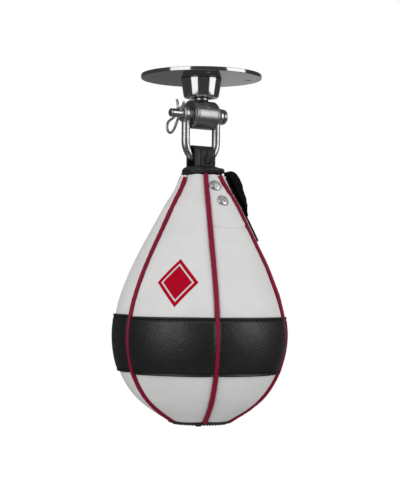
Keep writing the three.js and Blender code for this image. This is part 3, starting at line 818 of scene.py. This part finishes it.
# ---- shackle, pin and clip ----
def make_shackle():
    leg = np.linspace(PIN_AXIS - EYE_RADIUS + 3, BOW_CENTRE, 16)[:-1]
    right = [(SHACKLE_LEG, 0, z) for z in leg]
    turns = np.linspace(0, math.pi, 64)
    bow = [(SHACKLE_LEG * math.cos(a), 0, BOW_CENTRE - SHACKLE_LEG * math.sin(a)) for a in turns]
    path = np.array(right + bow + [(-x, y, z) for x, y, z in right[::-1]])
    shackle = sweep("shackle_bow", path, Y_AXIS, circle(SHACKLE_ROD, 48), "shackle")
    for sign in (-1, 1):
        low, high = sorted((sign * EYE_INNER, sign * EYE_OUTER))
        eye = lathe("eye", bar(EYE_RADIUS, low, high, 2.0), None, "x", PIN_CENTRE, 96)
        combine(shackle, eye, "UNION")
    bore = lathe("bore", bar(PIN_RADIUS + 0.3, -30, 30), None, "x", PIN_CENTRE, 96)
    combine(shackle, bore, "DIFFERENCE")
    modify(shackle, "REMESH", mode="VOXEL", voxel_size=0.42 * MM)
    modify(shackle, "SMOOTH", factor=0.5, iterations=9)
    bake_modifiers(shackle, 180)
    shackle.data.materials.clear()
    shackle.data.materials.append(LOOK["shackle"])
    place_piece(shackle, "shackle", "polished_shackle", "shackle")


def lay_on_clip(piece):
    """Moves a piece made along Z at the origin to the clip's leaning leg."""
    station = Vector((CLIP_STATION, 0, PIN_AXIS)) * MM
    piece.data.transform(Matrix.Translation(station) @ turned(CLIP_LEAN, "X"))


def make_pin():
    tip = span("clevis_pin")[0][0]
    head = [
        (PIN_RADIUS, 0), (8, 0), (8, 1.2), (7.4, 1.5), (7.9, 1.9),
        (7.8, 3.4), (6.4, 4.7), (3.6, 5.4), (0, 5.6),
    ]
    shaft = [(0, tip), (PIN_RADIUS - 1, tip), (PIN_RADIUS, tip + 1)]
    profile = rounded(shaft + [(radius, PIN_HEAD + up) for radius, up in head], 0.4)
    pin = lathe("pin", profile, "bright", "x", PIN_CENTRE)
    hole = lathe("hole", bar(CLIP_WIRE + 0.3, -8, 8, 0.1), None, segments=32)
    lay_on_clip(hole)
    combine(pin, hole, "DIFFERENCE")
    place_piece(pin, "pin", "bright_steel", "clevis_pin")


def make_clip():
    route = spline([(0, off, up) for up, off in CLIP_ROUTE], 220)
    clip = sweep("hairpin", route, X_AXIS, circle(CLIP_WIRE + 0.35, 20), "wire", domed=CLIP_WIRE)
    lay_on_clip(clip)
    place_piece(clip, "pin", "bright_steel", "hairpin_clip")


# ---- strap and collar ----
def make_strap():
    whole = STRAP_ROUTE + [(-y, z) for y, z in STRAP_ROUTE[-2::-1]]
    path = spline([(0, y, z) for y, z in whole], 260)
    strap = sweep("strap", path, X_AXIS, slab(STRAP_WIDTH, STRAP_THICKNESS, 0.9), "black", domed=0.6)
    modify(strap, "SUBSURF", subdivision_type="SIMPLE", levels=1)
    bake_modifiers(strap, 50)
    roughen(strap, 5.5, 0.3, 5.0, (1, 1, 3))
    roughen(strap, 2.6, 0.2, 6.0, (1, 1, 1.5))
    place_piece(strap, "bag", "black_leather", "hanger_strap")


def make_facing():
    """The second layer on the strap's front, creased along its left edge and crumpled at its foot."""
    low, high = span("strap_facing")
    left, right, top, foot = low[0] - 2, high[0], high[2], low[2]
    front = high[1] - 0.2

    def face(u, v, outside):
        x = left + (right - left) * u
        z = top + (foot - top) * v
        if not outside:
            return np.stack([x, np.full_like(x, front + 0.4), z], axis=-1)
        places = np.stack([x, np.zeros_like(x), z], axis=-1)
        edge = np.minimum(np.minimum(x - left, right - x), np.minimum(top - z, 9))
        folds = wobble(places, 2.3, 1.7, 8.0, (1, 1, 7))
        crumple = wobble(places, 3.0, 1.8, 3.0) * hump(z, foot + 3.5, 6)
        crease = hump(x, 0.4 + 0.8 * np.sin((z + 86) / 7), 0.75)
        level = front - 1.9 * rolled(edge, 1.5) - (folds + crumple - crease) * np.clip(edge / 1.5, 0, 1)
        return np.stack([x, level, z], axis=-1)

    facing = shell("facing", face, (True, False), 64, 64, "black")
    place_piece(facing, "bag", "black_leather", "strap_facing")
    count = 6
    level = -(STRAP_HALF_GAP + STRAP_THICKNESS) - 0.35
    places = np.array([(-10.4, level, z) for z in np.linspace(top - 2.5, foot + 2, count)])
    alongs = np.tile((0, 0, 1.0), (count, 1))
    outs = np.tile(-Y_AXIS, (count, 1))
    stitches("stitching_strap", places, alongs, outs, 2.1, 0.5, "dark_thread", "black_leather")


def collar_shape(points):
    """The collar's puck, thicker on one side and off centre like the neck."""
    away = points @ LEAN / 22
    radius = np.linalg.norm(points[:, :2], axis=1, keepdims=True)
    places = points + 2.5 * np.clip((radius - 12) / 8, 0, 1) * LEAN
    places[:, 2] = -98.6 + 0.5 * away + (points[:, 2] + 98.2) * (1 - 0.2 * away)
    return places


def make_collar():
    radius, bottom, top = rim("collar")
    corners = [
        (0, bottom), (radius - 2.4, bottom), (radius - 0.2, bottom + 2.2), (radius - 0.6, bottom + 3.2),
        (radius, bottom + 4.6), (radius - 1.6, top - 1.4), (radius - 7, top), (0, top),
    ]
    profile = spread_out(rounded(corners, 1.5, steps=5), 0.8)
    collar = lathe("neck_collar", profile, "black", segments=200)
    reshape(collar, collar_shape)
    roughen(collar, 8.0, 1.0, 2.0)
    roughen(collar, 3.0, 0.35, 7.0)
    opening = slab(STRAP_WIDTH + 0.4, 2 * (STRAP_HALF_GAP + STRAP_THICKNESS) + 0.6, 1.0)
    ends = np.array([(0, 0, bottom - 4.0), (0, 0, top + 4.0)])
    combine(collar, sweep("slot", ends, X_AXIS, opening, None), "DIFFERENCE")
    place_piece(collar, "bag", "black_leather", "collar")
    places, outs, alongs = around(np.radians(np.arange(0, 360, 9)), radius + 0.1, bottom + 2.4)
    places = collar_shape(places)
    stitches("stitching_collar", places, alongs, outs, 2.3, 0.4, "dark_thread", "black_leather")


# ---- the leather ----
def make_panels():
    for k in range(6):
        def face(u, v, depth):
            bearing = gore_bearing(k, dense_at_edges(u), v, 0.9)
            return outline.point(v, bearing, leather_out(k, bearing, v) - depth)

        panel = shell(f"gore_{k + 1}", face, (0.0, LEATHER), 44, 170, "white")
        place_piece(panel, "bag", "white_leather", f"panel_{k + 1}")


def make_bands():
    low, high = span("band_2")
    for k, lift in enumerate(BAND_LIFTS):
        top, bottom = outline.at_height(high[2] - 0.6 + lift), outline.at_height(low[2] + 0.4 + lift)

        def face(u, v, outside):
            s = top + (bottom - top) * dense_at_edges(v)
            bearing = gore_bearing(k, dense_at_edges(u), s, 1.0)
            out = leather_out(k, bearing, s)
            if not outside:
                return outline.point(s, bearing, out - 0.4)
            edge = np.minimum(s - top, bottom - s) * outline.length
            arc = np.radians(bearing) * outline.radius(s)
            groove = hump(edge, BAND_ROW_INSET, 0.9)
            pucker = hump(edge, BAND_ROW_INSET, 2.6) * np.cos(2 * math.pi * arc / BAND_STITCH_PITCH)
            swell = 0.5 * (1 - hump(edge, 0, 14)) + 0.45 * hump(edge, 1.5, 0.9)
            out = out + 1.9 * rolled(edge, 1.3) - groove - 0.25 * pucker + swell
            return outline.point(s, bearing, out)

        band = shell(f"band_patch_{k + 1}", face, (True, False), 64, 56, "band")
        place_piece(band, "bag", "band_leather", f"band_{k + 1}")
        inset = BAND_ROW_INSET / outline.length
        make_band_stitches(k, (top + inset, bottom - inset))


def make_band_stitches(k, rows):
    found = []
    for row in rows:
        radius = outline.radius(row)
        z = outline.height(row)
        margin = math.degrees(4.5 / radius)
        first, last = seam_bearing(k, z) + margin, seam_bearing(k + 1, z) - margin
        count = int(math.radians(last - first) * radius / BAND_STITCH_PITCH)
        bearing = np.linspace(first, last, count)
        s = np.full(count, row)
        places = outline.point(s, bearing, leather_out(k, bearing, s) + 1.15)
        found.append((places, around(np.radians(bearing), 1, 0)[2], outline.out(s, bearing)))
    places, alongs, outs = (np.vstack(group) for group in zip(*found))
    stitches(f"stitching_band_{k + 1}", places, alongs, outs, 2.7, 0.5, "dark_thread", "band_leather")


def make_pipings():
    foot = BAG_OUTLINE[-1][1] + 0.2
    for k, top in enumerate(PIPING_TOPS):
        s = np.linspace(outline.at_height(top), outline.at_height(foot), 300)
        bearing = seam_bearing(k, outline.height(s))
        path, outs = outline.point(s, bearing, -0.25), outline.out(s, bearing)
        piping = sweep(f"welt_{k + 1}", path, outs, circle(PIPING_RADIUS, 20), "red", domed=1.2)
        roughen(piping, 2.6, 0.22, 1.7 * k)
        roughen(piping, 14.0, 0.3, 1.1 * k)
        place_piece(piping, "bag", "red_piping", f"piping_{k + 1}")


def make_emblem():
    """A plain diamond with an inset line, printed on the gore that faces left of the camera."""
    k, centre_bearing, half_wide, half_tall = 0, 217, 21.0, 25.0
    middle = outline.at_height(-212)
    layers = [
        ("emblem_ground", 1.0, 0.10, "emblem"),
        ("emblem_line", 0.80, 0.16, "emblem_line"),
        ("emblem_centre", 0.70, 0.22, "emblem"),
    ]
    for name, size, lift, look in layers:
        def face(u, v, out):
            across = (u - v) * half_wide * size
            up = (1 - u - v) * half_tall * size
            s = middle - up / outline.length
            bearing = centre_bearing + np.degrees(across / outline.radius(s))
            return outline.point(s, bearing, leather_out(k, bearing, s) + out)

        patch = shell(name, face, (lift, -0.3), 28, 28, look)
        place_piece(patch, "bag", "red_piping" if look == "emblem" else "white_leather")


def make_patch_stitches():
    """The sewn line across each riveted gore, below the strap's tail."""
    for name, k in (("stitching_front", 1), ("stitching_back", 4)):
        across = np.linspace(0.07, 0.93, 17)
        s = outline.at_height(patch_line(across))
        bearing = gore_bearing(k, across, s, 0)
        places = outline.point(s, bearing, leather_out(k, bearing, s) - 0.05)
        alongs = unit(np.gradient(places, axis=0))
        outs = outline.out(s, bearing)
        stitches(name, places, alongs, outs, 2.0, 0.26, "pale_thread", "white_leather")


def make_rivets():
    brim = [(0.4, -1.6), (0.7, 0.1), (0.4, 0.5), (0, 0.7)]
    dome = [(0, -1.6)] + [(RIVET_CROWN + beyond, up) for beyond, up in brim]
    dome += [(RIVET_CROWN * r, 0.5 + 2.3 * math.sqrt(1 - r ** 4.5)) for r in np.linspace(0.99, 0, 18)]
    for node, (degrees, height) in RIVET_PLACES.items():
        s = outline.at_height(height)
        k, turn = (1, 0) if "front" in node else (4, 360)
        rivet = lathe(node.replace("rivet", "dome"), dome, "chrome", segments=64)
        foot = outline.point(s, degrees, leather_out(k, degrees + turn, s) + 0.35)
        stand(rivet, foot, unit(outline.out(s, degrees) - (0, 0, RIVET_TILT)))
        place_piece(rivet, "bag", "rivet_chrome", node)


def cap_shape(points):
    """The cap, drawn out on one side, where its edge hangs a little."""
    aside = np.clip(points @ LEAN / 30, 0, 1)[:, None]
    return points + 2.6 * aside ** 2 * (LEAN - (0, 0, 0.15))


def make_cap():
    radius, bottom, top = rim("bottom_cap")
    corners = [
        (0, bottom), (radius * 0.5, bottom + 0.4), (radius * 0.86, bottom + 1.2),
        (radius + 0.8, bottom + 2.6), (radius + 0.8, top), (0, top),
    ]
    cap = lathe("base_cap", spread_out(rounded(corners, 1.2), 1.2), "black", segments=160)
    reshape(cap, cap_shape)
    roughen(cap, 8.0, 0.4, 4.0)
    place_piece(cap, "bag", "black_leather", "bottom_cap")
    places, outs, alongs = around(np.radians(np.arange(0, 360, 6.5)), radius * 0.86, bottom + 1.2)
    outs = unit(0.35 * outs - (0, 0, 1))
    places = cap_shape(places)
    stitches("stitching_cap", places, alongs, outs, 2.2, 0.36, "dark_thread", "black_leather")


def make_valve():
    radius = 3.5
    bottom, top = rim("valve")[1:]
    corners = [
        (0, bottom + 0.9), (0.7, bottom + 0.5), (1.4, bottom), (radius * 0.75, bottom),
        (radius, bottom + 1.3), (radius, top), (0, top),
    ]
    valve = lathe("valve_plug", rounded(corners, 0.5), "rubber", segments=64)
    place_piece(valve, "bag", "valve_rubber", "valve")


# ---- closure ----
def make_placket():
    """The black strip under the lace, slit along its middle and a little wider at its foot."""
    low, high = span("lace_placket")
    start, end = outline.at_height(high[2] - 0.4), outline.at_height(low[2] - 5)

    def face(u, v, outside):
        s = start + (end - start) * v
        width = 17 + 13 * v
        across = width * (u - 0.5)
        bearing = CLOSURE_DEG + np.degrees(across / outline.radius(s))
        out = leather_out(2, bearing, s)
        if not outside:
            return outline.point(s, bearing, out - 0.5)
        edge = np.minimum(width / 2 - np.abs(across), np.minimum(v, 1 - v) * (end - start) * outline.length)
        return outline.point(s, bearing, out + 1.9 * rolled(edge, 0.8) - 0.5 * hump(across, 0, 0.5))

    placket = shell("placket", face, (True, False), 30, 90, "matte")
    place_piece(placket, "bag", "black_leather", "lace_placket")


def lace_hole(z, side, out):
    """A place beside the lacing's middle, and the direction out of the leather there."""
    s = outline.at_height(z)
    bearing = CLOSURE_DEG + side * math.degrees(LACE_ASIDE / outline.radius(s))
    return outline.point(s, bearing, out), outline.out(s, bearing)


def make_lace():
    for name, first, lift, nodes in (("lace_under", -1, 3.1, ["lace"]), ("lace_over", 1, 4.54, [])):
        points = []
        for i, z in enumerate(LACE_RUNGS):
            points.append(lace_hole(z, first * (1 if i % 2 else -1), 2.5)[0])
            if i + 1 < len(LACE_RUNGS):
                s = outline.at_height((z + LACE_RUNGS[i + 1]) / 2)
                points.append(outline.point(s, CLOSURE_DEG, lift))
        path = spline(points, 150)
        out = outline.out(outline.at_height(path[:, 2]), CLOSURE_DEG)
        lace = sweep(name, path, out, circle(0.95, 12), "braid", domed=0.8)
        place_piece(lace, "bag", "lace_cord", *nodes)


def make_eyelets():
    tube, radius = 0.5, 1.6
    profile = circle(tube, 14) + (radius, 0)
    for i, z in enumerate(LACE_RUNGS):
        for name, side in (("left", -1), ("right", 1)):
            eyelet = lathe(f"eyelet_{i + 1}_{name}", profile, "chrome", segments=32, closed=True)
            stand(eyelet, *lace_hole(z, side, 1.5))
            place_piece(eyelet, "bag", "rivet_chrome")


def make_flap():
    """The lacing's padded cover: a stuffed strip that arches out of the neck and lies down again."""
    width = 16.0
    outs, alongs = around(np.radians([CLOSURE_DEG]), 1, 0)[1:]
    lines = {side: spline(points, 90) for side, points in (("outer", FLAP_OUTER), ("inner", FLAP_INNER))}
    middle = (lines["outer"] + lines["inner"]) / 2
    index = np.linspace(0, 1, len(middle))

    def face(u, v, side):
        across = width * (dense_at_edges(u) - 0.5)
        pinch = rolled(width / 2 - np.abs(across), 2.2)
        line = lines[side] - middle
        radius, height = (
            np.interp(v, index, middle[:, c]) + np.interp(v, index, line[:, c]) * (0.25 + 0.75 * pinch)
            for c in (0, 1)
        )
        places = radius[..., None] * outs + across[..., None] * alongs
        places[..., 2] = height
        return hung(places)

    flap = shell("flap", face, ("outer", "inner"), 36, 110, "matte", 80)
    roughen(flap, 6.0, 0.7, 9.0)
    roughen(flap, 2.6, 0.3, 4.0)
    place_piece(flap, "bag", "black_leather", "lace_flap")


# ---- hidden CAD nodes keep their shape and get a finish ----
HIDDEN_LOOKS = {
    "thrust_pad": "acetal", "ball_seat": "bronze", "stem_nut": "bright", "spacer_sleeve": "bright",
    "bearing_balls_left": "bronze", "bearing_balls_right": "bronze", "bladder": "latex",
}


def finish_hidden_nodes():
    for node, look in HIDDEN_LOOKS.items():
        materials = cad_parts[node].data.materials
        materials.clear()
        materials.append(LOOK[look])


aim_camera()
studio_world()
softbox("left_softbox", -40, 1700, 250, 1204, 1420, 8.4)
softbox("right_softbox", 69, 1700, 219, 1271, 1212, 7.95)
LOOK = make_materials()
pale_floor()
make_flange()
make_housing()
make_ball()
make_barrel()
make_bearings()
make_shackle()
make_pin()
make_clip()
make_strap()
make_facing()
make_collar()
make_panels()
make_bands()
make_pipings()
make_emblem()
make_patch_stitches()
make_rivets()
make_cap()
make_valve()
make_placket()
make_lace()
make_eyelets()
make_flap()
finish_hidden_nodes()
